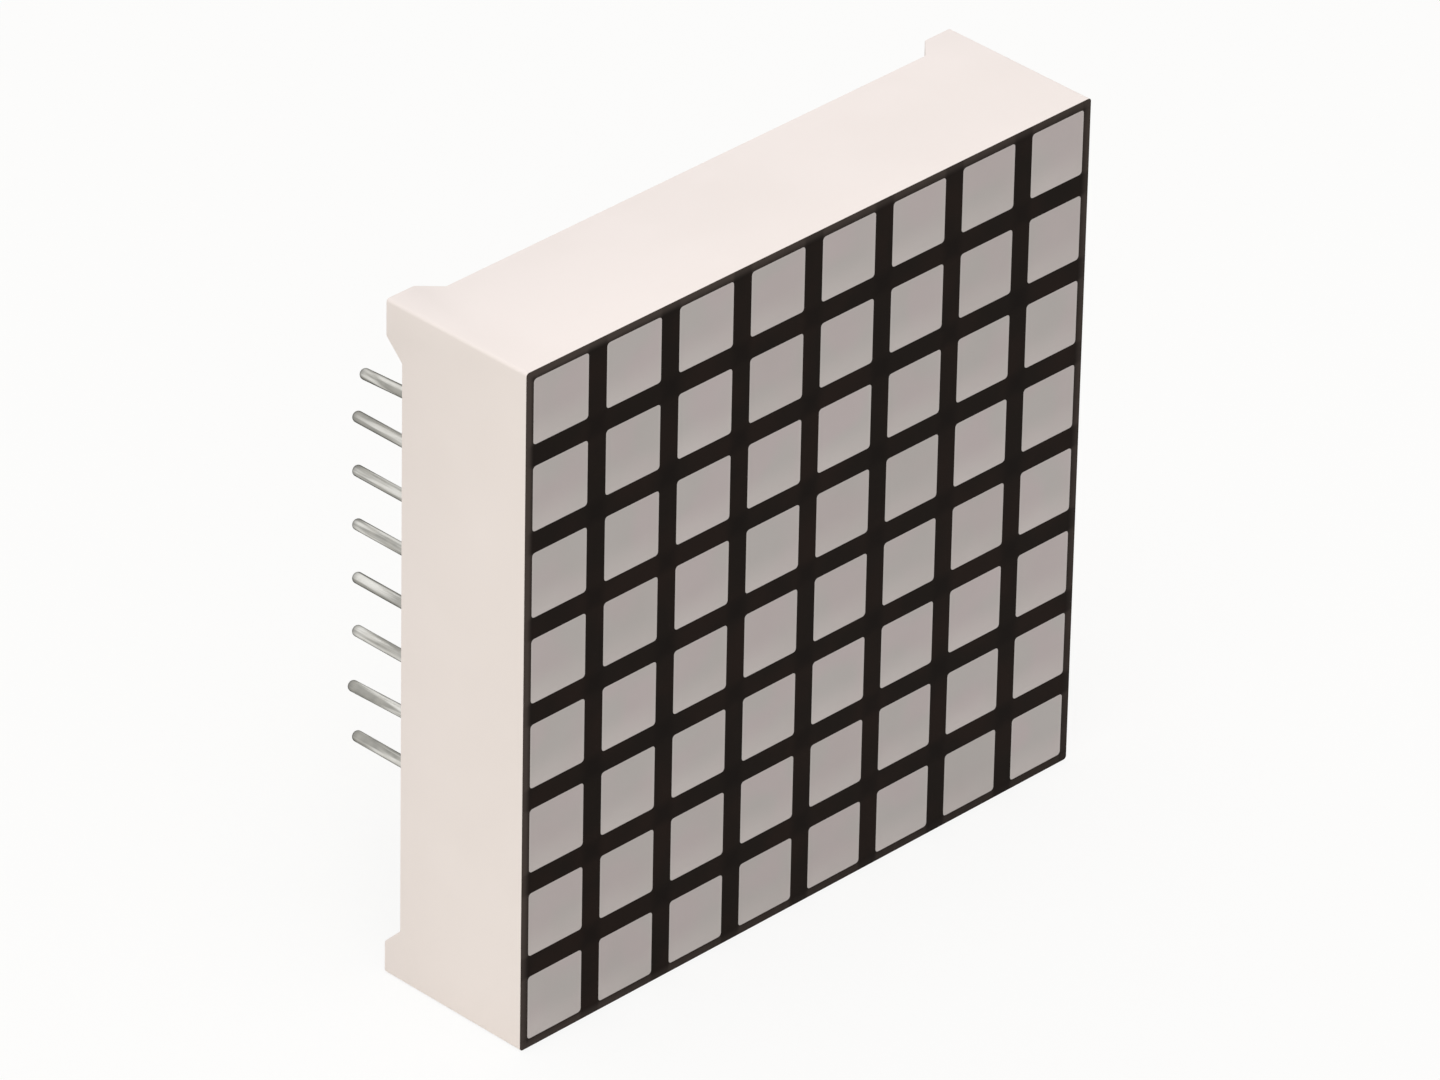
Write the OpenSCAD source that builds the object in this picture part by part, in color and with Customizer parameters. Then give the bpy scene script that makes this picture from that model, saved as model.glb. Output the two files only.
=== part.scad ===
// LED dot matrix: a square tile of light wells in a white moulded housing, with wire pins behind.
//
// The module stands on its lower side with its face towards -Y and its pins along +Y.
// Origin: centre of the pin grid, on the plane of the foot tips, where a board seats.
// Inside the modules a local frame is used: x to the right and y down as the face is seen, and
// z straight back from the face. placed() turns that frame into the upright one.

/* [Face] */
// Dots along each side of the square face
dots = 8; // [4:1:9]
// Centre-to-centre distance of the dots
dot_pitch = 4.0; // [3.6:0.1:5]
// Side of one square window
window_side = 3.0; // [2.4:0.1:3.4]
// Corner radius of a window
window_r = 0.15; // [0.1:0.05:0.6]
// Thickness of the black face layer
mask_t = 0.05; // [0.05:0.05:0.3]
// Gap left between two modules tiled at the dot pitch
tile_gap = 0.2; // [0:0.05:0.5]

/* [Housing] */
// Depth from the face to the rear rim
body_depth = 7.05; // [6:0.05:9]
// Radius of the four outer corners
body_r = 0.15; // [0.1:0.05:0.6]
// Thickness of the outer wall round the rear cavity
wall_t = 1.0; // [0.6:0.05:1.3]
// Depth of the rear cavity, from the rim to the back of the light wells
cavity_depth = 2.55; // [2.2:0.05:3.2]
// Corner radius of the rear cavity
cavity_r = 1.2; // [0.8:0.1:2]
// Side of a light well where it meets the board
well_back_side = 2.0; // [1.6:0.1:2.4]

/* [Corner feet] */
// Height of the feet above the rear rim
foot_h = 0.9; // [0.5:0.05:1.5]
// Length of a foot's tip along the upper and lower sides
foot_tip_w = 1.5; // [1:0.05:2.5]
// Length of an upper foot's tip down the left and right sides
foot_tip_top = 1.7; // [1:0.05:2.5]
// Length of a lower foot's tip up the left and right sides
foot_tip_bottom = 1.5; // [1:0.05:2.5]
// Angle of the slope from the rim up to a foot's tip
foot_slope = 45; // [30:5:60]

/* [Board and potting] */
// Thickness of the circuit board
board_t = 1.0; // [0.6:0.1:1.4]
// Gap between the board's edge and the cavity wall
board_gap = 0.15; // [0.05:0.05:0.4]
// Depth of the potting's surface below the rim
potting_recess = 0.45; // [0.2:0.05:0.7]

/* [Light chips] */
// Side of a light-emitting chip
chip_side = 0.3; // [0.2:0.02:0.4]
// Height of a chip
chip_h = 0.2; // [0.1:0.02:0.3]
// Diameter of a bond wire
wire_d = 0.05; // [0.04:0.005:0.08]
// Distance from the chip's centre to the wire's foot on the board
wire_span = 0.6; // [0.5:0.05:0.9]
// Clearance of the filling round a chip and its wire
pocket_gap = 0.1; // [0.05:0.05:0.15]

/* [Pins] */
// Diameter of a pin
pin_d = 0.5; // [0.4:0.05:0.7]
// Centre-to-centre distance of the pins in a row
pin_pitch = 2.54; // [2:0.01:3]
// Length of a pin beyond the foot tips
pin_reach = 5.9; // [3:0.1:8]
// Radius of the domed pin tip
pin_dome_r = 0.35; // [0.35:0.05:0.8]
// Clearance of the board's hole round a pin's root
hole_gap = 0.14; // [0.12:0.02:0.24]
// Diameter of a solder joint on the board
solder_d = 1.6; // [1.4:0.1:2]
// Height of a solder joint above the board
solder_h = 0.7; // [0.4:0.05:0.9]
// Thickness of the solder where it runs out on the pin's root
solder_skin = 0.03; // [0.02:0.01:0.08]
// Droop of the first pin, which has been bent in handling
first_pin_droop = 5.5; // [0:0.5:8]
// Lean of the first pin towards the other row
first_pin_inward = 3; // [0:0.5:6]
// Outward lean of the last pin but one in the first row
bent_pin_outward = 2; // [0:0.5:6]

/* [Hidden] */
$fn = 48;
// straight steps in a window's corner
CORNER_STEPS = 3;
// extra length of a cutting body past the surface it cuts
CUT = 1;

body_side = dots * dot_pitch - tile_gap;
total_depth = body_depth + foot_h;
well_back_z = body_depth - cavity_depth;
board_back_z = well_back_z + board_t;
potting_z = body_depth - potting_recess;
pin_tip_z = total_depth + pin_reach;
cavity_side = body_side - 2 * wall_t;
board_side = cavity_side - 2 * board_gap;
board_r = cavity_r - board_gap;
// the pin rows run behind the walls between the outermost two columns of dots
pin_rows_apart = (dots - 2) * dot_pitch;
pins_per_row = dots;
pin_count = 2 * pins_per_row;
// a pin's root is the same wire pressed square, so it keeps the round section's area
root_side = pin_d * sqrt(PI) / 2;
root_reach = root_side / sqrt(2);
hole_r = root_reach + hole_gap;
chip_x = -wire_span / 2;
pad_x = wire_span / 2;

// Centre of the dot in a column, and of the dots in a row, counted from 1.
function dot_at(i) = (i - (dots + 1) / 2) * dot_pitch;

// Pins are numbered down the left row as the face is seen, then up the right row.
function pin_x(i) = (i <= pins_per_row ? -1 : 1) * pin_rows_apart / 2;
function pin_y(i) =
    let (place = i <= pins_per_row ? i : pin_count + 1 - i)
    (place - (pins_per_row + 1) / 2) * pin_pitch;

// Outline of a square with rounded corners, as points.
function round_square_points(side, r) =
    [for (quarter = [0:3], step = [0:CORNER_STEPS])
        let (
            turn = 90 * (quarter + step / CORNER_STEPS),
            middle = 90 * quarter + 45,
            reach = (side / 2 - r) * sqrt(2)
        )
        [reach * cos(middle) + r * cos(turn), reach * sin(middle) + r * sin(turn)]
    ];

// A square with true round corners.
module round_square(side, r) {
    square([side, side - 2 * r], center = true);
    square([side - 2 * r, side], center = true);
    for (x = [-1, 1], y = [-1, 1])
        translate([x * (side / 2 - r), y * (side / 2 - r)]) circle(r);
}

// Stands the local frame upright: the face towards -Y, the foot tips on the plane Y = 0.
module placed() {
    translate([0, -total_depth, 0]) rotate([-90, 0, 0]) children();
}

module in_row(row) {
    for (column = [1:dots]) translate([dot_at(column), dot_at(row)]) children();
}

module at_pins() {
    for (i = [1:pin_count]) translate([pin_x(i), pin_y(i)]) children();
}

// The tapered space of one light well, from the back of the face layer to the board.
module light_well() {
    translate([0, 0, mask_t])
        linear_extrude(well_back_z - mask_t, scale = well_back_side / window_side)
            polygon(round_square_points(window_side, window_r));
}

// Section of the notch between two feet, seen along the wall it crosses. It widens
// from the rim to the foot tips, from u = low to u = high, where the tips begin.
module notch_section(low, high) {
    run = foot_h / tan(foot_slope);
    past = CUT / tan(foot_slope);
    polygon([
        [low + run, body_depth],
        [low - past, total_depth + CUT],
        [high + past, total_depth + CUT],
        [high - run, body_depth]
    ]);
}

module foot_notches() {
    half = body_side / 2;
    length = body_side + 2 * CUT;
    // across the upper and lower walls
    translate([0, length / 2, 0]) rotate([90, 0, 0])
        linear_extrude(length) notch_section(foot_tip_w - half, half - foot_tip_w);
    // across the left and right walls
    translate([-length / 2, 0, 0]) rotate([90, 0, 90])
        linear_extrude(length) notch_section(foot_tip_top - half, half - foot_tip_bottom);
}

// White moulded shell: tapered light wells in front, a cavity for the board behind,
// and a foot at each corner left standing by the notches in the rim.
module housing() {
    color("seashell") placed() difference() {
        translate([0, 0, mask_t])
            linear_extrude(total_depth - mask_t) round_square(body_side, body_r);
        translate([0, 0, well_back_z])
            linear_extrude(total_depth) round_square(cavity_side, cavity_r);
        foot_notches();
        for (row = [1:dots]) in_row(row) light_well();
    }
}

// Black layer on the front of the housing, open at every window.
module face_mask() {
    color("#1c1816") placed() linear_extrude(mask_t) difference() {
        round_square(body_side, body_r);
        for (row = [1:dots]) in_row(row) polygon(round_square_points(window_side, window_r));
    }
}

// Milky resin that fills one light well, flush with the face, and leaves room at its
// back for the chip and its wire.
module diffuser() {
    pocket_h = chip_h + (wire_span + wire_d) / 2 + pocket_gap;
    pocket_size = [wire_span + chip_side + 2 * pocket_gap, chip_side + 2 * pocket_gap];
    difference() {
        union() {
            linear_extrude(mask_t) polygon(round_square_points(window_side, window_r));
            light_well();
        }
        translate([0, 0, well_back_z - pocket_h])
            linear_extrude(pocket_h + CUT) square(pocket_size, center = true);
    }
}

module diffuser_row(row) {
    color("#aaa3a1") placed() in_row(row) diffuser();
}

// Light-emitting chips of one row, cemented to the front of the board.
module led_chips_row(row) {
    color("#d8c24a") placed() in_row(row)
        translate([chip_x, 0, well_back_z - chip_h])
            linear_extrude(chip_h) square(chip_side, center = true);
}

// A wire loops from the top of the chip to its foot on the board.
module bond_wire() {
    translate([0, 0, well_back_z - chip_h]) {
        rotate([-90, 0, 0]) rotate_extrude(angle = 180)
            translate([wire_span / 2, 0]) circle(d = wire_d);
        translate([pad_x, 0, 0]) cylinder(h = chip_h, d = wire_d);
    }
}

module bond_wires_row(row) {
    color("gold") placed() in_row(row) bond_wire();
}

// Board that carries the chips in front and the pins behind.
module circuit_board() {
    color("#b9a26a") placed() translate([0, 0, well_back_z]) linear_extrude(board_t)
        difference() {
            round_square(board_side, board_r);
            at_pins() circle(hole_r);
        }
}

module root_hole() {
    translate([0, 0, well_back_z - CUT])
        linear_extrude(total_depth) square(root_side, center = true);
}

// Solder that fills a pin's hole and rises round its root as a cone.
module solder_body() {
    translate([0, 0, well_back_z]) cylinder(h = board_t, r = hole_r);
    translate([0, 0, board_back_z])
        cylinder(h = solder_h, r1 = solder_d / 2, r2 = root_reach + solder_skin);
}

module solder_joints() {
    color("silver") placed() at_pins() difference() {
        solder_body();
        root_hole();
    }
}

// Clear resin poured over the back of the board up to just below the rim.
module potting() {
    color("#d9d2b8", 0.6) placed() difference() {
        translate([0, 0, board_back_z])
            linear_extrude(potting_z - board_back_z) round_square(cavity_side, cavity_r);
        at_pins() {
            solder_body();
            root_hole();
        }
    }
}

// Free end of a pin from the resin's surface, z = 0 here, to its domed tip. A leaning
// end is cut off level at the surface.
module pin_end(droop, inward) {
    length = pin_tip_z - potting_z;
    difference() {
        rotate([-droop, inward, 0]) intersection() {
            translate([0, 0, -pin_d]) cylinder(h = length + pin_d, d = pin_d);
            union() {
                translate([0, 0, length - pin_dome_r]) sphere(pin_dome_r);
                translate([0, 0, -pin_d]) cylinder(h = length + pin_d - pin_dome_r, d = 2 * pin_d);
            }
        }
        translate([0, 0, -2 * pin_d]) cylinder(h = 2 * pin_d, d = 4 * pin_d);
    }
}

// Tinned wire pin. Its root is pressed square where it stands in the board.
module pin(i) {
    droop = i == 1 ? first_pin_droop : 0;
    inward = i == 1 ? first_pin_inward : i == pins_per_row - 1 ? -bent_pin_outward : 0;
    color("#b4afa6") placed() translate([pin_x(i), pin_y(i), 0]) {
        translate([0, 0, well_back_z])
            linear_extrude(potting_z - well_back_z) square(root_side, center = true);
        translate([0, 0, potting_z]) pin_end(droop, inward);
    }
}

housing();
face_mask();
for (i = [1:dots]) {
    diffuser_row(i);
    led_chips_row(i);
    bond_wires_row(i);
}
circuit_board();
solder_joints();
potting();
for (i = [1:pin_count]) {
    pin(i);
}
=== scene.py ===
import math

import bmesh
import bpy
from mathutils import Matrix, Quaternion, Vector


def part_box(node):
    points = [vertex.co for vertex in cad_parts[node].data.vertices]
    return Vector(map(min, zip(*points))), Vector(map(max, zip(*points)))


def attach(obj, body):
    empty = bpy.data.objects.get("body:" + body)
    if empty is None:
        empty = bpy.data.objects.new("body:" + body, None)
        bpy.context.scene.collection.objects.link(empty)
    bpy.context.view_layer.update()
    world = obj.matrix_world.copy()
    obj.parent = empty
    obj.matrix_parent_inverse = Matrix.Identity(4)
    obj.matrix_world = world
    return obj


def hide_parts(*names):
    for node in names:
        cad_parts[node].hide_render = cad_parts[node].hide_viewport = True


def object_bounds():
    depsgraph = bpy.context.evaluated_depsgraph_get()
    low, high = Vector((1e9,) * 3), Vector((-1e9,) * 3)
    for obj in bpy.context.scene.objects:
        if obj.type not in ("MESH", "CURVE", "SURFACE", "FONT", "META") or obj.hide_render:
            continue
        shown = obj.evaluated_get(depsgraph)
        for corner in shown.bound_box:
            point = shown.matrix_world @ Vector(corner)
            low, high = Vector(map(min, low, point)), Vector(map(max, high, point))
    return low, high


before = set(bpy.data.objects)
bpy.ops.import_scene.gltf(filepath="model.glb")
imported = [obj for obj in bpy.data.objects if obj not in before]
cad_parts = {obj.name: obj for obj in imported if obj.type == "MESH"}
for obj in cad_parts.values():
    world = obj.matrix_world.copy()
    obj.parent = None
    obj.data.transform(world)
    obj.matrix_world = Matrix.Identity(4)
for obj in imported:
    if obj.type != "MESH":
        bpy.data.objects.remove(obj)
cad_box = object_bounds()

# ---------------------------------------------------------------------------------------------
# Bench: the module stands on a pale table in a white tent, seen from its upper left front.
# The table and the lamps aren't part of the module. Everything is in metres, with the face
# towards -Y and the pins along +Y.

MM = 0.001
face_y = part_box("face_mask")[0].y
bottom_z = cad_box[0].z

camera_data = bpy.data.cameras.new("camera")
camera_data.sensor_width = 36
camera_data.lens = 298.98
camera_data.clip_start = 0.01
camera_data.clip_end = 10
camera = bpy.data.objects.new("camera", camera_data)
bpy.context.scene.collection.objects.link(camera)
bpy.context.scene.camera = camera
camera_azimuth = math.radians(45.45)
camera_fall = math.radians(31.70)
camera_roll = math.radians(1.14)
looking = Vector((
    math.sin(camera_azimuth) * math.cos(camera_fall),
    math.cos(camera_azimuth) * math.cos(camera_fall),
    -math.sin(camera_fall),
))
camera_distance = 477.9 * MM
aimed_at = Vector((-5.008 * MM, face_y, 3.709 * MM))
camera.location = aimed_at - looking * camera_distance
camera.rotation_mode = "QUATERNION"
camera.rotation_quaternion = looking.to_track_quat("-Z", "Y") @ Quaternion((0, 0, 1), camera_roll)


class Signal:
    """The output of a node. Arithmetic on it adds Math nodes to the same tree."""

    def __init__(self, nodes, socket):
        self.nodes, self.socket = nodes, socket

    def maths(self, operation, *values):
        return self.nodes.add("ShaderNodeMath", {"operation": operation}, dict(enumerate(values)))

    def __add__(self, other):
        return self.maths("ADD", self, other)

    __radd__ = __add__

    def __sub__(self, other):
        return self.maths("SUBTRACT", self, other)

    def __rsub__(self, other):
        return self.maths("SUBTRACT", other, self)

    def __mul__(self, other):
        return self.maths("MULTIPLY", self, other)

    __rmul__ = __mul__

    def __truediv__(self, other):
        return self.maths("DIVIDE", self, other)

    def __abs__(self):
        return self.maths("ABSOLUTE", self)

    def at_least(self, other):
        return self.maths("MAXIMUM", self, other)

    def at_most(self, other):
        return self.maths("MINIMUM", self, other)

    def step(self, start, end):
        """0 before start, 1 after end, smooth between them. Start may be the larger."""
        span = {"From Min": start, "From Max": end}
        return self.nodes.add("ShaderNodeMapRange", {"interpolation_type": "SMOOTHSTEP"},
                              {"Value": self, **span})

    def clamped(self):
        return self.nodes.add("ShaderNodeClamp", {}, {"Value": self})


class Nodes:
    """The nodes of one material, world or geometry tree."""

    def __init__(self, tree):
        self.tree = tree
        self.tree.nodes.clear()

    def add(self, kind, settings=(), sockets=(), out=0):
        """Adds a node: its settings first, then the values or links of its sockets."""
        node = self.tree.nodes.new(kind)
        for name, value in dict(settings).items():
            setattr(node, name, value)
        for name, value in dict(sockets).items():
            if isinstance(value, Signal):
                self.tree.links.new(value.socket, node.inputs[name])
            else:
                node.inputs[name].default_value = value
        return Signal(self, node.outputs[out]) if node.outputs else node

    def mix(self, amount, first, second):
        """The first colour where amount is 0 and the second where it is 1."""
        colours = {6: solid(first), 7: solid(second)}
        return self.add("ShaderNodeMix", {"data_type": "RGBA"}, {0: amount, **colours}, out=2)

    def split(self, vector):
        """The three numbers of a vector."""
        outputs = self.add("ShaderNodeSeparateXYZ", {}, {0: vector}).socket.node.outputs
        return [Signal(self, output) for output in outputs]


def solid(colour):
    """A colour given as three numbers, with its alpha."""
    return colour if isinstance(colour, Signal) else (*colour, 1)


def finish(name):
    """A new material and its nodes."""
    material = bpy.data.materials.new(name)
    material.use_nodes = True
    return material, Nodes(material.node_tree)


def as_backdrop(nodes):
    """1 for what is seen directly, in a shiny surface or through a clear one, and 0 for light."""
    rays = ("Is Camera Ray", "Is Glossy Ray", "Is Transmission Ray")
    sight, gloss, through = (nodes.add("ShaderNodeLightPath", out=ray) for ray in rays)
    return (sight + gloss + through).clamped()


table_material, nodes = finish("white_table")
paper = nodes.add("ShaderNodeBsdfDiffuse", {}, {"Color": (0.86, 0.85, 0.81, 1)})
glow = nodes.add("ShaderNodeEmission", {}, {"Color": (1, 1, 1, 1), "Strength": 1.0})
shown = nodes.add("ShaderNodeMixShader", {}, {0: as_backdrop(nodes) * 0.84, 1: paper, 2: glow})
nodes.add("ShaderNodeOutputMaterial", {}, {"Surface": shown})

table_mesh = bpy.data.meshes.new("white_table")
table_half = 0.6
table_z = bottom_z - 0.02 * MM  # a hair below the module, so that the two faces don't coincide
table_mesh.from_pydata(
    [(x * table_half, y * table_half, table_z) for x, y in ((-1, -1), (1, -1), (1, 1), (-1, 1))],
    [], [(0, 1, 2, 3)])
table = bpy.data.objects.new("white_table", table_mesh)
table.data.materials.append(table_material)
bpy.context.scene.collection.objects.link(table)

tent = bpy.data.worlds.new("white_tent")
bpy.context.scene.world = tent
tent.use_nodes = True
nodes = Nodes(tent.node_tree)
dim = nodes.add("ShaderNodeBackground", {}, {"Color": (1, 0.985, 0.975, 1), "Strength": 0.60})
white = nodes.add("ShaderNodeBackground", {}, {"Color": (1, 1, 1, 1), "Strength": 1.0})
shown = nodes.add("ShaderNodeMixShader", {}, {0: as_backdrop(nodes), 1: dim, 2: white})
nodes.add("ShaderNodeOutputWorld", {}, {"Surface": shown})


def softbox(name, place, side, power, colour):
    """A square area lamp that looks at the module."""
    light = bpy.data.lights.new(name, "AREA")
    light.shape, light.size, light.energy, light.color = "SQUARE", side, power, colour
    lamp = bpy.data.objects.new(name, light)
    lamp.location = place
    lamp.rotation_mode = "QUATERNION"
    lamp.rotation_quaternion = (-Vector(place)).to_track_quat("-Z", "Y")
    bpy.context.scene.collection.objects.link(lamp)


softbox("softbox_above", (-0.15, -0.10, 0.60), 0.45, 1.92, (1, 1, 1))
softbox("softbox_front", (-0.50, -0.55, 0.25), 0.45, 0.80, (1, 0.98, 0.86))

# ---------------------------------------------------------------------------------------------
# Housing: one moulding in warm white polyester, with the square light wells in front, the
# board's cavity behind and a foot left at each corner. The mould leaves its rear edges a
# little broken, and its faces carry a fine satin grain.


def merged_copy(node):
    """The mesh of a CAD node with its loose triangles joined."""
    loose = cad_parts[node].data
    mesh = bpy.data.meshes.new(node)
    mesh.from_pydata([v.co for v in loose.vertices], [], [p.vertices for p in loose.polygons])
    shape = bmesh.new()
    shape.from_mesh(mesh)
    bmesh.ops.remove_doubles(shape, verts=shape.verts, dist=0.0005 * MM)
    shape.to_mesh(mesh)
    shape.free()
    return mesh


def smooth(mesh, degrees):
    """Smooth shading that keeps the edges sharper than an angle."""
    mesh.shade_smooth()
    mesh.set_sharp_from_angle(angle=math.radians(degrees))


def piece(name, mesh, material, slot, *cad_nodes):
    """A finished piece of the module, in the place of its CAD nodes."""
    made = bpy.data.objects.new(name, mesh)
    mesh.materials.clear()
    mesh.materials.append(material)
    bpy.context.scene.collection.objects.link(made)
    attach(made, "root")
    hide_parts(*cad_nodes)
    return made


def plain_mesh(holder):
    """The mesh of an object as its modifiers leave it. The object itself is removed."""
    bpy.context.view_layer.update()
    ready = holder.evaluated_get(bpy.context.evaluated_depsgraph_get())
    mesh = bpy.data.meshes.new_from_object(ready)
    bpy.data.objects.remove(holder)
    return mesh


def on_object(nodes):
    """The place of a point in metres, as a vector and as its three numbers."""
    place = nodes.add("ShaderNodeTexCoord", out="Object")
    return place, *nodes.split(place)


def grain(nodes, size, detail=2.0, place=None):
    """Noise whose spots are about size across."""
    place = place or nodes.add("ShaderNodeTexCoord", out="Object")
    return nodes.add("ShaderNodeTexNoise", {}, {"Vector": place, "Scale": 1 / size, "Detail": detail})


def relief(nodes, height, distance, strength=1.0):
    """A bump of this height where the signal is 1."""
    return nodes.add("ShaderNodeBump", {}, {
        "Strength": strength, "Distance": distance, "Height": height})


def principled(nodes, **sockets):
    """The surface of a finish, from the values and signals of its sockets."""
    named = {name.replace("_", " "): value for name, value in sockets.items()}
    shader = nodes.add("ShaderNodeBsdfPrincipled", {}, named)
    nodes.add("ShaderNodeOutputMaterial", {}, {"Surface": shader})


plastic_light = (0.872, 0.799, 0.768)
plastic_deep = (0.852, 0.779, 0.746)
plastic_fleck = (0.80, 0.71, 0.67)


def plastic_colour(nodes, cloud, speck):
    """Warm white with faint flow clouds and finer specks of pigment."""
    colour = nodes.mix(cloud.step(0.35, 0.65), plastic_deep, plastic_light)
    return nodes.mix(speck.step(0.62, 0.85) * 0.22, colour, plastic_fleck)


plastic, nodes = finish("warm_white_plastic")
cloud = grain(nodes, 6 * MM)
speck = grain(nodes, 0.09 * MM, detail=3.0)
drift = grain(nodes, 1.3 * MM)
principled(
    nodes, Base_Color=plastic_colour(nodes, cloud, speck), Roughness=0.44 + speck * 0.12,
    Specular_IOR_Level=0.35, Normal=relief(nodes, speck + drift * 1.5, 0.006 * MM, 0.35))

edge_break = 0.06 * MM
broken_from = math.radians(25)
potting_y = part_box("potting")[1].y
cavity_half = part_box("potting")[1].x
housing_mesh = merged_copy("housing")
shape = bmesh.new()
shape.from_mesh(housing_mesh)
bmesh.ops.dissolve_limit(shape, angle_limit=math.radians(0.5), verts=shape.verts, edges=shape.edges)
broken = shape.edges.layers.float.new("bevel_weight_edge")
for edge in shape.edges:
    middle = (edge.verts[0].co + edge.verts[1].co) / 2
    at_rear = middle.y > potting_y + 0.05 * MM
    at_wall = max(abs(middle.x), abs(middle.z)) > cavity_half - 0.4 * MM
    if at_rear and at_wall and edge.calc_face_angle(0) > broken_from:
        edge[broken] = 1.0
shape.to_mesh(housing_mesh)
shape.free()
holder = bpy.data.objects.new("housing_shell", housing_mesh)
bpy.context.scene.collection.objects.link(holder)
bevel = holder.modifiers.new("edge_break", "BEVEL")
bevel.limit_method = "WEIGHT"
bevel.width = edge_break
bevel.segments = 2
housing_mesh = plain_mesh(holder)
smooth(housing_mesh, 32)
piece("housing_shell", housing_mesh, plastic, "white_plastic", "housing")

# ---------------------------------------------------------------------------------------------
# Face layer: matt black ink printed on the front of the housing, open at every window. It
# thins out at the arris and beside the outer windows, and there its colour is also painted
# lighter: a painted glow of lit resin beside the outer windows, and a painted highlight along
# the arris that is strongest on the left and top sides, where the light falls.

dots = 8
dot_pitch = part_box("diffuser_row_1")[0].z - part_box("diffuser_row_2")[0].z
window_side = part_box("diffuser_row_1")[1].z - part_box("diffuser_row_1")[0].z
face_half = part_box("face_mask")[1].x
ink_skin = 0.015 * MM


def from_bar(axis):
    """Distance along an axis from the middle of the nearest bar between two windows."""
    return axis.maths("PINGPONG", axis + dots * dot_pitch, dot_pitch / 2)


ink_black = (0.0090, 0.0060, 0.0045)
ink_brown = (0.0130, 0.0075, 0.0056)
ink_thick = (0.0050, 0.0030, 0.0022)
thin_ink_and_painted_light = (0.055, 0.043, 0.038)
ink, nodes = finish("matt_black_ink")
place, x, y, z = on_object(nodes)
outward = abs(x).at_least(abs(z))
along = abs(x).at_most(abs(z))
strip = outward.step(face_half - 0.50 * MM, face_half - 0.36 * MM)
by_window = from_bar(along).step(0.40 * MM, 0.62 * MM)
at_corner = along.step(face_half - 0.50 * MM, face_half - 0.30 * MM)
crossing = 1 - from_bar(x).at_least(from_bar(z)).step(0.15 * MM, 0.75 * MM)
arris = outward.step(face_half - 0.45 * MM, face_half - 0.10 * MM)
# painted light: weights the lighter arris towards the left and top sides, where the light falls
lit_side = ((abs(x) - abs(z)) * 0.14 - x * 0.24 + z * 0.20) / face_half + 0.52
speck = grain(nodes, 0.05 * MM, detail=3.0)
cloud = grain(nodes, 2.5 * MM)
patchy = grain(nodes, 0.5 * MM)
colour = nodes.mix(cloud.step(0.35, 0.7), ink_black, ink_brown)
colour = nodes.mix(crossing * 0.7, colour, ink_thick)
# the strip beside the outer windows: thinner ink, with a painted glow as if lit resin shone through it
thin_ink_and_painted_glow = strip * by_window.at_least(at_corner) * (0.15 + patchy * 0.32)
colour = nodes.mix((thin_ink_and_painted_glow + arris * lit_side).clamped(), colour, thin_ink_and_painted_light)
white_side = plastic_colour(nodes, grain(nodes, 6 * MM), grain(nodes, 0.09 * MM, detail=3.0))
on_side = y.maths("GREATER_THAN", y, face_y + ink_skin)  # the layer's sides show bare plastic
colour = nodes.mix(on_side, colour, white_side)
principled(
    nodes, Base_Color=colour, Roughness=0.62 + speck * 0.15, Specular_IOR_Level=0.06,
    Normal=relief(nodes, speck, 0.003 * MM, 0.3))
mask_mesh = merged_copy("face_mask")
smooth(mask_mesh, 40)
piece("face_layer", mask_mesh, ink, "black_ink", "face_mask")

# ---------------------------------------------------------------------------------------------
# Board: yellow-green glass-epoxy laminate cut to the cavity. On its back each pin has a round
# copper pad and a track that runs inwards to a plated dot.

pin_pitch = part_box("pin_3")[1].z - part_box("pin_4")[1].z
pin_x = (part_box("pin_16")[0].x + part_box("pin_16")[1].x) / 2

laminate, nodes = finish("glass_epoxy_board")
place, x, y, z = on_object(nodes)
thread = 2 * math.pi / (0.5 * MM)
weave = x.maths("SINE", x * thread) * z.maths("SINE", z * thread)
cloud = grain(nodes, 4 * MM)
from_pin_z = pin_pitch / 2 - z.maths("PINGPONG", z, pin_pitch / 2)
from_pin_x = abs(x) - pin_x
pad = 1 - from_pin_z.maths("SQRT", from_pin_z * from_pin_z + from_pin_x * from_pin_x).step(
    0.80 * MM, 0.84 * MM)
which = (z / pin_pitch).maths("FLOOR", z / pin_pitch)
stop = nodes.add("ShaderNodeTexWhiteNoise", {"noise_dimensions": "1D"}, {"W": which})
reach = stop * (8 * MM) + 1.5 * MM
track = (1 - from_pin_z.step(0.13 * MM, 0.16 * MM)) * abs(x).step(reach, reach + 0.03 * MM)
track = track * (1 - from_pin_x.step(0, 0.02 * MM))
rows_half = dots / 2 * pin_pitch
rows = 1 - abs(z).step(rows_half, rows_half + 0.01 * MM)
from_dot = abs(x) - reach
dot = 1 - from_dot.maths("SQRT", from_pin_z * from_pin_z + from_dot * from_dot).step(
    0.38 * MM, 0.42 * MM)
copper = (pad.at_least(track).at_least(dot) * rows).clamped()
colour = nodes.mix(cloud.step(0.3, 0.7), (0.30, 0.33, 0.13), (0.36, 0.38, 0.17))
colour = nodes.mix(weave.step(-1, 1) * 0.25, colour, (0.44, 0.46, 0.26))
colour = nodes.mix(copper, colour, (0.62, 0.36, 0.20))
principled(
    nodes, Base_Color=colour, Metallic=copper * 0.8, Roughness=0.5 + cloud * 0.1 - copper * 0.2,
    Normal=relief(nodes, weave * 0.15 + copper, 0.035 * MM, 0.6))
board_mesh = merged_copy("circuit_board")
smooth(board_mesh, 30)
piece("board", board_mesh, laminate, "board_laminate", "circuit_board")

# ---------------------------------------------------------------------------------------------
# Light chips: in each well a square of sawn yellow crystal, cemented to the board.

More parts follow.
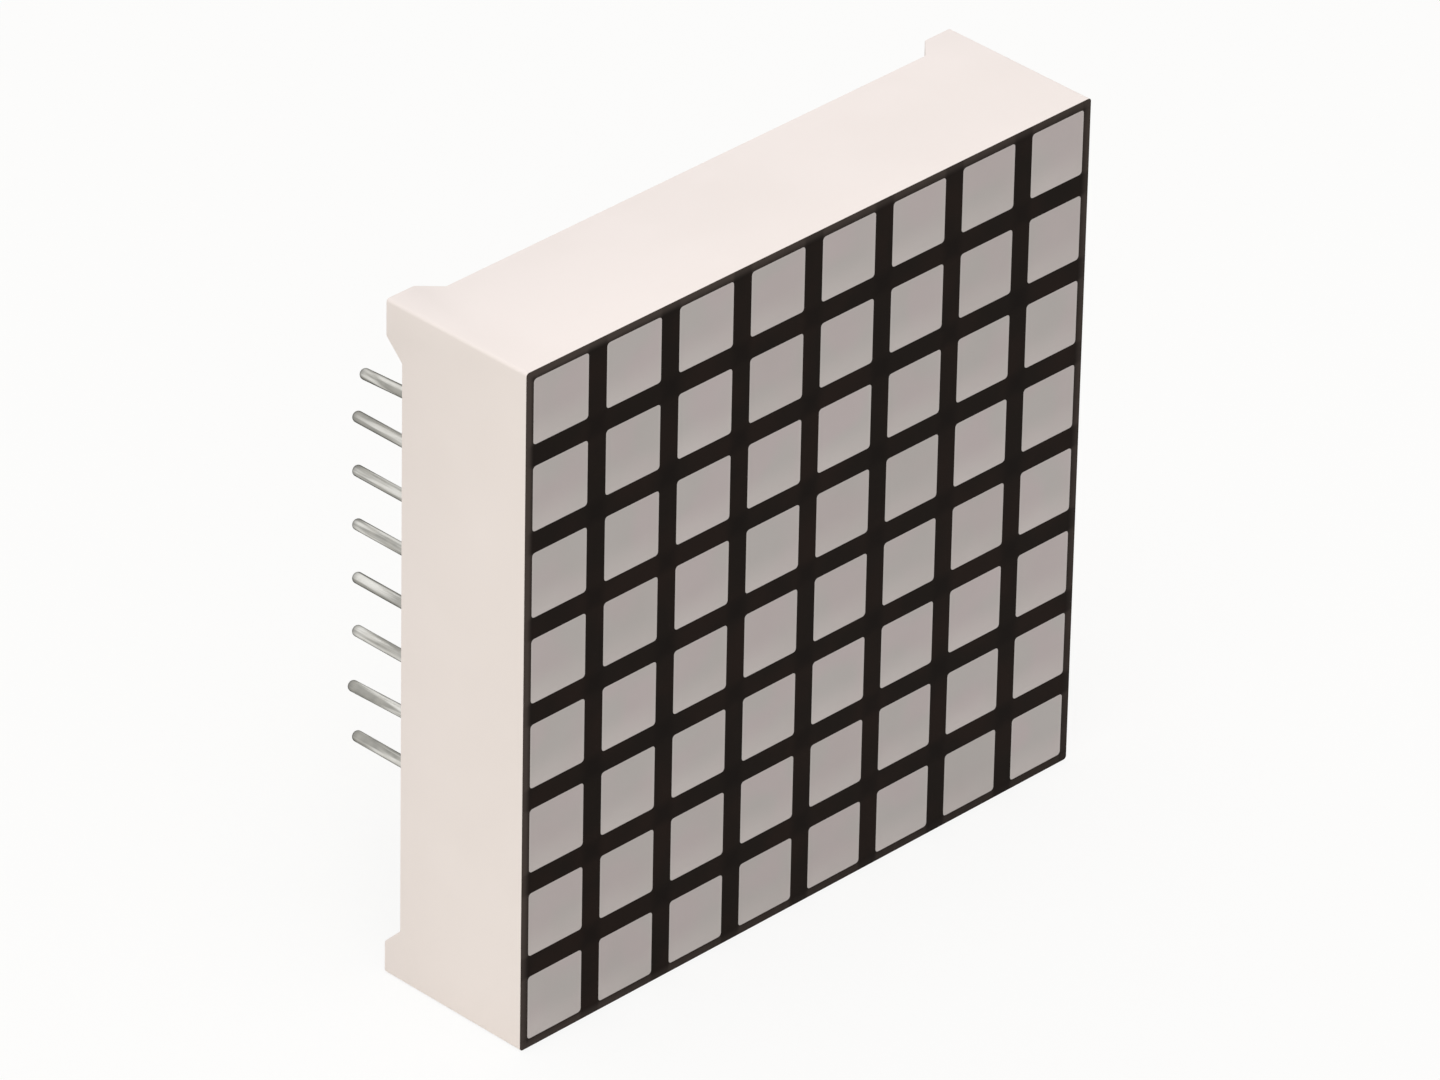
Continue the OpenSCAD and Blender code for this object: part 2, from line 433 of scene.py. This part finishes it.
crystal, nodes = finish("chip_crystal")
speck = grain(nodes, 0.04 * MM)
principled(
    nodes, Base_Color=nodes.mix(speck, (0.62, 0.52, 0.10), (0.75, 0.66, 0.22)),
    Roughness=0.25 + speck * 0.2, Normal=relief(nodes, speck, 0.002 * MM, 0.4))
for row in range(1, dots + 1):
    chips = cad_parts[f"led_chips_row_{row}"]
    chips.data.materials.clear()
    chips.data.materials.append(crystal)

# ---------------------------------------------------------------------------------------------
# Bond wires: from each chip a loop of fine gold wire down to its pad on the board.


class Tree(Nodes):
    """A Geometry Nodes tree with named inputs."""

    def __init__(self, name, **inputs):
        super().__init__(bpy.data.node_groups.new(name, "GeometryNodeTree"))
        sockets = {"Geometry": "NodeSocketGeometry", **inputs}
        for label, kind in sockets.items():
            self.tree.interface.new_socket(label, in_out="INPUT", socket_type=kind)
        self.tree.interface.new_socket("Geometry", in_out="OUTPUT", socket_type="NodeSocketGeometry")
        given = self.tree.nodes.new("NodeGroupInput")
        self.given = {
            label: Signal(self, given.outputs[place]) for place, label in enumerate(sockets)}

    def end(self, geometry, material):
        """Makes the result plain, with its material, and closes the tree."""
        plain = self.add("GeometryNodeRealizeInstances", {}, {"Geometry": geometry})
        dressed = self.add("GeometryNodeSetMaterial", {}, {"Geometry": plain, "Material": material})
        self.tree.links.new(dressed.socket, self.tree.nodes.new("NodeGroupOutput").inputs[0])

    def grow(self, name, start, sizes):
        """The plain mesh that the tree makes from a start mesh and its sizes."""
        holder = bpy.data.objects.new(name, start)
        bpy.context.scene.collection.objects.link(holder)
        grown = holder.modifiers.new(name, "NODES")
        grown.node_group = self.tree
        for item in self.tree.interface.items_tree:
            if item.in_out == "INPUT" and item.name in sizes:
                grown[item.identifier] = sizes[item.name]
        return plain_mesh(holder)


gold, nodes = finish("gold_bond_wire")
speck = grain(nodes, 0.02 * MM)
principled(
    nodes, Base_Color=nodes.mix(speck, (0.85, 0.60, 0.22), (0.95, 0.72, 0.32)), Metallic=1.0,
    Roughness=0.2 + speck * 0.15, Normal=relief(nodes, speck, 0.001 * MM, 0.4))

loops = Tree(
    "bond_loops", Count="NodeSocketInt", First="NodeSocketVector", Pitch="NodeSocketVector",
    Span="NodeSocketFloat", Rise="NodeSocketFloat", Drop="NodeSocketFloat", Gauge="NodeSocketFloat")
span, rise, drop = (loops.given[name] for name in ("Span", "Rise", "Drop"))


def spot(nodes, x, y, z):
    """A point from three numbers or signals."""
    return nodes.add("ShaderNodeCombineXYZ", {}, {0: x, 1: y, 2: z})


path = loops.add("GeometryNodeCurvePrimitiveBezierSegment", {}, {
    "Resolution": 14, "Start": spot(loops, span * -0.5, drop * -1, 0),
    "Start Handle": spot(loops, span * -0.5, (drop + rise) * -1.2, 0),
    "End Handle": spot(loops, span * 0.55, (drop + rise) * -1.2, 0),
    "End": spot(loops, span * 0.5, 0, 0)})
section = loops.add("GeometryNodeCurvePrimitiveCircle", {}, {
    "Resolution": 6, "Radius": loops.given["Gauge"] * 0.5})
wire = loops.add("GeometryNodeCurveToMesh", {}, {
    "Curve": path, "Profile Curve": section, "Fill Caps": True})
line = loops.add("GeometryNodeMeshLine", {}, {
    "Count": loops.given["Count"], "Start Location": loops.given["First"],
    "Offset": loops.given["Pitch"]})
loops.end(loops.add("GeometryNodeInstanceOnPoints", {}, {"Points": line, "Instance": wire}), gold)

board_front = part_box("circuit_board")[0].y
wire_low, wire_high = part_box("bond_wires_row_1")
wire_gauge = wire_high.z - wire_low.z
wire_span = (wire_high.x - wire_low.x) - (dots - 1) * dot_pitch - wire_gauge
loop_rise = 0.22 * MM
chip_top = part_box("led_chips_row_1")[0].y
for row in range(1, dots + 1):
    level = (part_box(f"led_chips_row_{row}")[0].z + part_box(f"led_chips_row_{row}")[1].z) / 2
    loop_mesh = loops.grow("bond_loops", bpy.data.meshes.new("none"), {
        "Count": dots, "First": (-(dots - 1) / 2 * dot_pitch, board_front, level),
        "Pitch": (dot_pitch, 0, 0), "Span": wire_span, "Rise": loop_rise,
        "Drop": board_front - chip_top, "Gauge": wire_gauge})
    smooth(loop_mesh, 60)
    piece(f"bond_loops_row_{row}", loop_mesh, gold, "gold_wire", f"bond_wires_row_{row}")

# ---------------------------------------------------------------------------------------------
# Pins: sixteen tinned wires, drawn round and cut with rounded tips. The first has drooped and
# the last but one of its row leans out, as they do after handling.

# Turns a profile of (reach, depth) points round a square with rounded corners, which is a circle
# where its corners take half its side, and repeats the result in rows.
turned = Tree(
    "turned_in_rows", Material="NodeSocketMaterial", Side="NodeSocketFloat",
    Corner="NodeSocketFloat", Steps="NodeSocketInt", Count="NodeSocketInt",
    First="NodeSocketVector", Pitch="NodeSocketVector", Rows="NodeSocketInt",
    Apart="NodeSocketVector")
around = turned.add("GeometryNodeCurvePrimitiveQuadrilateral", {}, {
    "Width": turned.given["Side"], "Height": turned.given["Side"]})
around = turned.add("GeometryNodeFilletCurve", {"mode": "POLY"}, {
    "Curve": around, "Count": turned.given["Steps"], "Radius": turned.given["Corner"],
    "Limit Radius": True})
points = turned.add("GeometryNodeAttributeDomainSize", {"component": "CURVE"}, {0: around})
rings = turned.add("GeometryNodeAttributeDomainSize", {"component": "MESH"},
                   {0: turned.given["Geometry"]})
grid = turned.add("GeometryNodeMeshGrid", {}, {
    "Size X": points, "Size Y": rings - 1, "Vertices X": points + 1, "Vertices Y": rings})
here = turned.add("GeometryNodeInputPosition")
column, level, _ = turned.split(here)
turn = column + points * 0.5 + 0.25
turn = turn.maths("MODULO", turn, points)
ring = level + (rings - 1) * 0.5 + 0.25
whole = {"data_type": "FLOAT_VECTOR", "domain": "POINT"}
outline = turned.add("GeometryNodeSampleIndex", whole, {0: around, 1: here, 2: turn})
profile = turned.add("GeometryNodeSampleIndex", whole, {
    0: turned.given["Geometry"], 1: here, 2: ring})
wide, high, _ = turned.split(outline)
reach, depth, _ = turned.split(profile)
placed = spot(turned, wide * reach, depth, high * reach)
body = turned.add("GeometryNodeSetPosition", {}, {"Geometry": grid, "Position": placed})
body = turned.add("GeometryNodeMergeByDistance", {}, {"Geometry": body, "Distance": 0.0005 * MM})
line = turned.add("GeometryNodeMeshLine", {}, {
    "Count": turned.given["Count"], "Start Location": turned.given["First"],
    "Offset": turned.given["Pitch"]})
row_of = turned.add("GeometryNodeInstanceOnPoints", {}, {"Points": line, "Instance": body})
line = turned.add("GeometryNodeMeshLine", {}, {
    "Count": turned.given["Rows"], "Offset": turned.given["Apart"]})
turned.end(turned.add("GeometryNodeInstanceOnPoints", {}, {
    "Points": line, "Instance": row_of}), turned.given["Material"])


def turn_profile(name, profile, material, sizes):
    """The mesh of a profile turned round an outline, once unless the sizes repeat it."""
    start = bpy.data.meshes.new(name)
    start.from_pydata([(reach, depth, 0) for reach, depth in profile],
                      [(i, i + 1) for i in range(len(profile) - 1)], [])
    nowhere = (0, 0, 0)
    alone = {"Count": 1, "Rows": 1, "First": nowhere, "Pitch": nowhere, "Apart": nowhere}
    mesh = turned.grow(name, start, {"Material": material, **alone, **sizes})
    shape = bmesh.new()
    shape.from_mesh(mesh)
    if shape.calc_volume(signed=True) < 0:
        bmesh.ops.reverse_faces(shape, faces=shape.faces)
    shape.to_mesh(mesh)
    shape.free()
    return mesh


ROUND = {"Side": 2.0, "Corner": 1.0, "Steps": 7}
tin_painted_dark_reflection = (0.33, 0.325, 0.30)
tin_painted_highlight = (0.78, 0.77, 0.73)
tin_dull = (0.55, 0.53, 0.48)
tin_cut = (0.20, 0.195, 0.185)

tinned, nodes = finish("tinned_drawn_wire")
place, x, y, z = on_object(nodes)
stretched = nodes.add("ShaderNodeMapping", {}, {"Vector": place, "Scale": (1, 0.06, 1)})
drawn = grain(nodes, 0.05 * MM, place=stretched)
streak_and_painted_reflection = grain(nodes, 0.22 * MM, place=stretched)
cloud = grain(nodes, 0.7 * MM)
pin_end_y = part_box("pin_3")[1].y
tip = y.step(pin_end_y - 0.45 * MM, pin_end_y - 0.05 * MM)
# painted reflection: the light and dark streaks stand in for highlights and dark reflections along each
# pin, over the real streaks of dipped tin
colour = nodes.mix(streak_and_painted_reflection.step(0.38, 0.62), tin_painted_dark_reflection, tin_painted_highlight)
colour = nodes.mix(cloud.step(0.3, 0.7) * 0.4, colour, tin_dull)
colour = nodes.mix(tip * 0.6, colour, tin_cut)
principled(
    nodes, Base_Color=colour, Metallic=1.0, Roughness=0.24 + drawn * 0.16,
    Specular_Tint=(0.08, 0.08, 0.08, 1),
    Normal=relief(nodes, drawn + cloud * 2, 0.006 * MM, 0.5))

pin_radius = (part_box("pin_3")[1].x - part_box("pin_3")[0].x) / 2
pin_free = pin_end_y - potting_y
pin_sunk = 0.25 * MM
dome = 0.20 * MM
dome_steps = 6
profile = [(0, -pin_sunk), (pin_radius, -pin_sunk)]
profile += [(pin_radius, pin_free * part) for part in (0.1, 0.3, 0.5, 0.7, 0.85)]
for step in range(dome_steps):
    angle = math.radians(90 / dome_steps * step)
    profile.append((pin_radius - dome * (1 - math.cos(angle)), pin_free - dome * (1 - math.sin(angle))))
profile += [(pin_radius - dome, pin_free), (0, pin_free)]
drooping_pin, leaning_pin = 1, 7
for pin in range(1, 2 * dots + 1):
    side_x = -pin_x if pin <= dots else pin_x
    place_in_row = pin if pin <= dots else 2 * dots + 1 - pin
    level = ((dots + 1) / 2 - place_in_row) * pin_pitch
    pin_mesh = turn_profile(f"pin_{pin}", profile, tinned, ROUND)
    droop = math.radians(5.5 if pin == drooping_pin else 0)
    lean = math.radians(3 if pin == drooping_pin else -2 if pin == leaning_pin else 0)
    pin_mesh.transform(
        Matrix.Translation((side_x, potting_y, level))
        @ Matrix.Rotation(-lean, 4, "Z") @ Matrix.Rotation(-droop, 4, "X"))
    smooth(pin_mesh, 40)
    piece(f"wire_pin_{pin}", pin_mesh, tinned, "tinned_wire", f"pin_{pin}")

# ---------------------------------------------------------------------------------------------
# Solder: a bright joint round the root of every pin, hollow-sided as molten metal sets.

bright, nodes = finish("bright_solder")
cloud = grain(nodes, 0.3 * MM)
principled(
    nodes, Base_Color=nodes.mix(cloud, (0.62, 0.62, 0.60), (0.74, 0.73, 0.71)), Metallic=1.0,
    Roughness=0.22 + cloud * 0.15, Normal=relief(nodes, cloud, 0.01 * MM, 0.5))
solder_low, solder_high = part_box("solder_joints")
board_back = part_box("circuit_board")[1].y
pad_radius = solder_high.x - pin_x
solder_rise = solder_high.y - board_back
hole_radius = 0.44 * MM
collar = 0.27 * MM
profile = [(0, solder_low.y), (hole_radius, solder_low.y), (hole_radius, board_back)]
hollow_steps = 8
for step in range(hollow_steps + 1):
    part = step / hollow_steps
    profile.append((pad_radius + (collar - pad_radius) * part ** 0.55,
                    board_back + solder_rise * part ** 1.7))
profile.append((0, solder_high.y))
solder_mesh = turn_profile("solder", profile, bright, {
    **ROUND, "Count": dots, "First": (-pin_x, 0, -(dots - 1) / 2 * pin_pitch),
    "Pitch": (0, 0, pin_pitch), "Rows": 2, "Apart": (2 * pin_x, 0, 0)})
smooth(solder_mesh, 50)
piece("solder_fillets", solder_mesh, bright, "solder", "solder_joints")

# ---------------------------------------------------------------------------------------------
# Windows: milky resin poured into the wells from behind, level with the face against a tape.
# It shrinks a little as it sets, so each window is very slightly dished.

resin, nodes = finish("milky_resin")
place, x, y, z = on_object(nodes)
bar_half = (dot_pitch - window_side) / 2
across = from_bar(x) - bar_half
upright = from_bar(z) - bar_half
# painted highlight: a lighter line along each window's border
painted_rim_light = 1 - across.at_most(upright).step(0.02 * MM, 0.14 * MM)
cell_x = (x / dot_pitch).maths("FLOOR", x / dot_pitch)
cell_z = (z / dot_pitch).maths("FLOOR", z / dot_pitch)
in_x = (x / dot_pitch - cell_x - 0.5) * (dot_pitch / window_side) * 2
in_z = (z / dot_pitch - cell_z - 0.5) * (dot_pitch / window_side) * 2
tone = nodes.add("ShaderNodeTexWhiteNoise", {"noise_dimensions": "2D"}, {
    "Vector": spot(nodes, cell_x, cell_z, 0)})
cloud = grain(nodes, 1.4 * MM)
hue = grain(nodes, 2.2 * MM, detail=0.0)
speck = grain(nodes, 0.05 * MM)
# painted light: the lower part and the sides of each window are painted lighter, as if the lit well
# walls showed through the milky resin
low_glow = in_z.step(0.05, -0.9)
side_glow = (in_x * in_x * 0.35 + in_x * in_z * -0.15).clamped()
colour = nodes.mix(hue.step(0.35, 0.65), (0.437, 0.412, 0.409), (0.462, 0.405, 0.415))
colour = nodes.mix(low_glow * (0.70 - in_x * 0.16), colour, (0.535, 0.492, 0.488))
colour = nodes.mix(side_glow * 0.45, colour, (0.480, 0.450, 0.436))
colour = nodes.mix(painted_rim_light * 0.4, colour, (0.53, 0.50, 0.49))
colour = nodes.mix((tone * 0.3 + cloud * 0.2).clamped(), colour, (0.39, 0.36, 0.35))
principled(
    nodes, Base_Color=colour, Roughness=0.40 + cloud * 0.1, Specular_IOR_Level=0.25,
    Normal=relief(nodes, speck, 0.004 * MM, 0.25))

plug_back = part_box("diffuser_row_1")[1].y
mask_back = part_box("face_mask")[1].y
well_share = 2.0 / 3.0
pocket_share = 0.37
pocket_y = plug_back - 0.62 * MM
window_corner = 0.15 * MM
dish = 0.012 * MM
profile = [
    (0, pocket_y), (pocket_share, pocket_y), (pocket_share, plug_back), (well_share, plug_back),
    (1, mask_back), (1, face_y + 0.002 * MM), (0.985, face_y), (0.94, face_y + dish * 0.5),
    (0.8, face_y + dish * 0.85), (0.45, face_y + dish), (0, face_y + dish)]
for row in range(1, dots + 1):
    low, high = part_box(f"diffuser_row_{row}")
    plug_mesh = turn_profile("plugs", profile, resin, {
        "Side": window_side, "Corner": window_corner, "Steps": 5, "Count": dots,
        "First": (-(dots - 1) / 2 * dot_pitch, 0, (low.z + high.z) / 2),
        "Pitch": (dot_pitch, 0, 0)})
    smooth(plug_mesh, 30)
    piece(f"windows_row_{row}", plug_mesh, resin, "diffusing_resin", f"diffuser_row_{row}")

# ---------------------------------------------------------------------------------------------
# Potting: clear resin over the back of the board, filled to just below the rim. It creeps a
# little up the walls and the pins, as it does before it sets.

clear, nodes = finish("clear_potting")
cloud = grain(nodes, 5 * MM)
ripple = grain(nodes, 2 * MM)
principled(
    nodes, Base_Color=nodes.mix(cloud, (0.70, 0.66, 0.47), (0.77, 0.73, 0.56)),
    Roughness=0.10 + cloud * 0.1, Alpha=0.3, Normal=relief(nodes, ripple, 0.02 * MM, 0.5))

fill_low, fill_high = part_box("potting")
corner_radius = 1.2 * MM
corner_steps = 6
cell = 0.25 * MM
wall_creep, wall_fade = 0.16, 0.35 * MM
pin_creep, pin_fade = 0.14, 0.20 * MM
creep_most, sunk = 0.20, 0.03
count = round((fill_high.x - fill_low.x) / cell)
shape = bmesh.new()
bmesh.ops.create_grid(shape, x_segments=count, y_segments=count, size=fill_high.x)
bmesh.ops.rotate(shape, verts=shape.verts, matrix=Matrix.Rotation(math.radians(90), 3, "X"))
arc_at = fill_high.x - corner_radius
for quarter in range(4):
    for step in range(corner_steps):
        angle = math.radians(90 * quarter + 90 / corner_steps * (step + 0.5))
        out = Vector((math.cos(angle), 0, math.sin(angle)))
        corner = Vector((math.copysign(arc_at, out.x), 0, math.copysign(arc_at, out.z)))
        bmesh.ops.bisect_plane(
            shape, geom=[*shape.verts, *shape.edges, *shape.faces], dist=1e-9,
            plane_co=corner + out * corner_radius, plane_no=out, clear_outer=True)
pins_at = [
    Vector((side, 0, ((dots + 1) / 2 - place) * pin_pitch))
    for side in (-pin_x, pin_x) for place in range(1, dots + 1)]
sheet = list(shape.faces)
kept = bmesh.ops.extrude_face_region(shape, geom=sheet, use_keep_orig=True)["geom"]
top = [part for part in kept if isinstance(part, bmesh.types.BMVert)]
for vertex in top:
    wall = fill_high.x - max(abs(vertex.co.x), abs(vertex.co.z))
    beyond_x, beyond_z = abs(vertex.co.x) - arc_at, abs(vertex.co.z) - arc_at
    if beyond_x > 0 and beyond_z > 0:
        wall = corner_radius - math.hypot(beyond_x, beyond_z)
    pin_gap = min((vertex.co - pin).length for pin in pins_at) - pin_radius
    creep = wall_creep * math.exp(-max(wall, 0) / wall_fade)
    creep += pin_creep * math.exp(-max(pin_gap, 0) / pin_fade)
    vertex.co.y = fill_high.y + (min(creep, creep_most) - sunk) * MM
lifted = set(top)
for vertex in shape.verts:
    if vertex not in lifted:
        vertex.co.y = fill_low.y + 0.01 * MM
bmesh.ops.recalc_face_normals(shape, faces=shape.faces)
fill_mesh = bpy.data.meshes.new("potting_fill")
shape.to_mesh(fill_mesh)
shape.free()
smooth(fill_mesh, 50)
piece("potting_fill", fill_mesh, clear, "clear_resin", "potting")

bpy.context.scene.view_settings.view_transform = "Standard"
